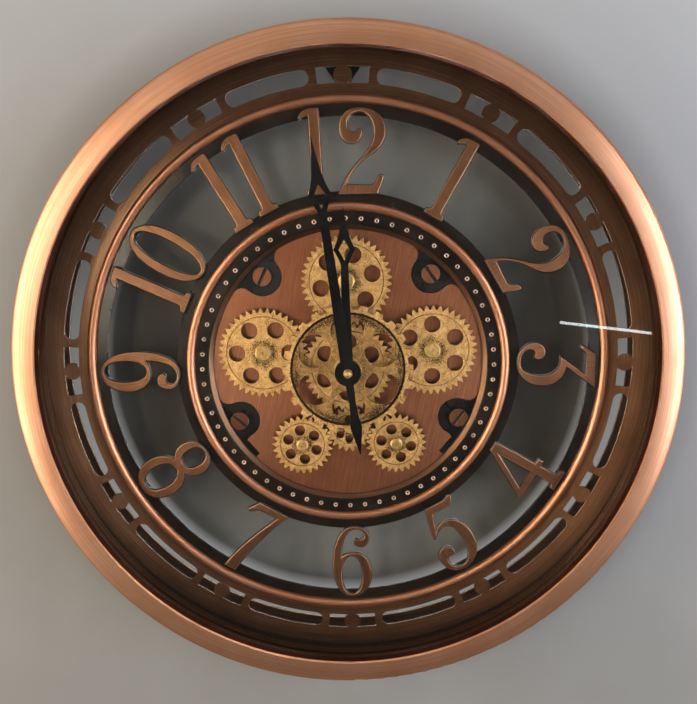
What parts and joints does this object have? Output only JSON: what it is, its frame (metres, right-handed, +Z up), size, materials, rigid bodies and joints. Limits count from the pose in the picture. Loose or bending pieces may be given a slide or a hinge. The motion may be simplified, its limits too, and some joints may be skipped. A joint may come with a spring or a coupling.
{
  "type": "gear wall clock",
  "caption": "Round copper wall clock with pierced numerals, an open dial, black hands and a geared train that turns behind clear glass; hangs from a keyhole plate.",
  "frame": {"origin": "centre of the keyhole's round entry, on the wall side of the hanger plate", "axes": "+X to the viewer's right, +Z up to 12 o'clock, -Y out of the wall towards the viewer"},
  "size_m": [0.5407, 0.081, 0.5408],
  "materials": {
    "antique_copper": "brushed antique copper plate, lacquered",
    "dark_copper": "dark oxidised copper, brushed",
    "black_brown_enamel": "black-brown gloss enamel on sheet steel",
    "antique_gold": "antique gold plate with dark patina",
    "polished_brass": "polished",
    "black_hands": "gloss black lacquer",
    "bare_steel": "satin",
    "black_plastic": "moulded, fine grain",
    "clear_glass": "clear flat glass",
    "black_rubber": "matt",
    "red_insulation": "matt"
  },
  "bodies": {
    "case": {"bezel": "antique_copper", "chapter_bead": "antique_copper", "centre_bead": "antique_copper", "gear_plate": "antique_copper", "ear_screws": "antique_copper", "numeral_1": "antique_copper", "numeral_2": "antique_copper", "numeral_3": "antique_copper", "numeral_4": "antique_copper", "numeral_5": "antique_copper", "numeral_6": "antique_copper", "numeral_7": "antique_copper", "numeral_8": "antique_copper", "numeral_9": "antique_copper", "numeral_10": "antique_copper", "numeral_11": "antique_copper", "numeral_12": "antique_copper", "chapter_ring": "dark_copper", "plate_lip": "dark_copper", "bezel_screws": "dark_copper", "case_drum": "black_brown_enamel", "dial_ring": "black_brown_enamel", "centre_ring": "black_brown_enamel", "stud_channel": "black_brown_enamel", "back_plate": "black_brown_enamel", "hanger_plate": "black_brown_enamel", "large_pivots": "polished_brass", "small_pivots": "polished_brass", "studs": "polished_brass", "stem": "polished_brass", "stem_nut": "polished_brass", "stem_collar": "polished_brass", "cover_screws": "bare_steel", "clock_battery": "bare_steel", "gear_batteries": "bare_steel", "movement_case": "black_plastic", "gear_motor": "black_plastic", "battery_tray": "black_plastic", "back_cover": "black_plastic", "glass": "clear_glass", "glass_gasket": "black_rubber", "movement_washer": "black_rubber", "motor_leads": "red_insulation"},
    "minute": {"minute_hand": "black_hands", "hand_nut": "polished_brass", "minute_arbor": "bare_steel"},
    "hour": {"hour_hand": "black_hands", "hour_tube": "polished_brass"},
    "knob": {"set_knob": "black_plastic"},
    "sun": {"sun_gear": "antique_gold", "central_wheel": "antique_gold", "wheel_tube": "polished_brass"},
    "top_satellite": {"satellite_top": "antique_gold"},
    "left_satellite": {"satellite_left": "antique_gold"},
    "right_satellite": {"satellite_right": "antique_gold"},
    "left_planet": {"planet_left": "antique_gold"},
    "right_planet": {"planet_right": "antique_gold"},
    "idler": {"idler_gear": "antique_gold", "idler_shaft": "bare_steel"},
    "door": {"battery_door": "black_plastic"}
  },
  "joints": [
    {"name": "minute_turn", "type": "hinge", "parent": "case", "child": "minute", "pos_m": [0, 0, -0.25019], "axis": [0, 1, 0], "continuous": true},
    {"name": "hour_turn", "type": "hinge", "parent": "case", "child": "hour", "pos_m": [0, 0, -0.25019], "axis": [0, 1, 0], "continuous": true},
    {"name": "set_knob_turn", "type": "hinge", "parent": "case", "child": "knob", "pos_m": [-0.012, 0, -0.23919], "axis": [0, 1, 0], "continuous": true},
    {"name": "sun_turn", "type": "hinge", "parent": "case", "child": "sun", "pos_m": [0, 0, -0.25019], "axis": [0, 1, 0], "continuous": true},
    {"name": "top_satellite_turn", "type": "hinge", "parent": "case", "child": "top_satellite", "pos_m": [0, 0, -0.17519], "axis": [0, 1, 0], "continuous": true},
    {"name": "left_satellite_turn", "type": "hinge", "parent": "case", "child": "left_satellite", "pos_m": [-0.07374, 0, -0.23653], "axis": [0, 1, 0], "continuous": true},
    {"name": "right_satellite_turn", "type": "hinge", "parent": "case", "child": "right_satellite", "pos_m": [0.07374, 0, -0.23653], "axis": [0, 1, 0], "continuous": true},
    {"name": "idler_turn", "type": "hinge", "parent": "case", "child": "idler", "pos_m": [0, 0, -0.30644], "axis": [0, 1, 0], "continuous": true},
    {"name": "left_planet_turn", "type": "hinge", "parent": "case", "child": "left_planet", "pos_m": [-0.04191, 0, -0.32006], "axis": [0, 1, 0], "continuous": true},
    {"name": "right_planet_turn", "type": "hinge", "parent": "case", "child": "right_planet", "pos_m": [0.04191, 0, -0.32006], "axis": [0, 1, 0], "continuous": true},
    {"name": "battery_door_slide", "type": "slide", "parent": "case", "child": "door", "axis": [0, 0, 1], "range_m": [0, 0.03]}
  ],
  "couplings": [
    {"joint": "hour_turn", "follows": "minute_turn", "ratio": 0.083333},
    {"joint": "set_knob_turn", "follows": "minute_turn", "ratio": -0.33333},
    {"joint": "top_satellite_turn", "follows": "sun_turn", "ratio": -1},
    {"joint": "left_satellite_turn", "follows": "sun_turn", "ratio": -1},
    {"joint": "right_satellite_turn", "follows": "sun_turn", "ratio": -1},
    {"joint": "idler_turn", "follows": "sun_turn", "ratio": -2},
    {"joint": "left_planet_turn", "follows": "sun_turn", "ratio": 1.4815},
    {"joint": "right_planet_turn", "follows": "sun_turn", "ratio": 1.4815}
  ]
}
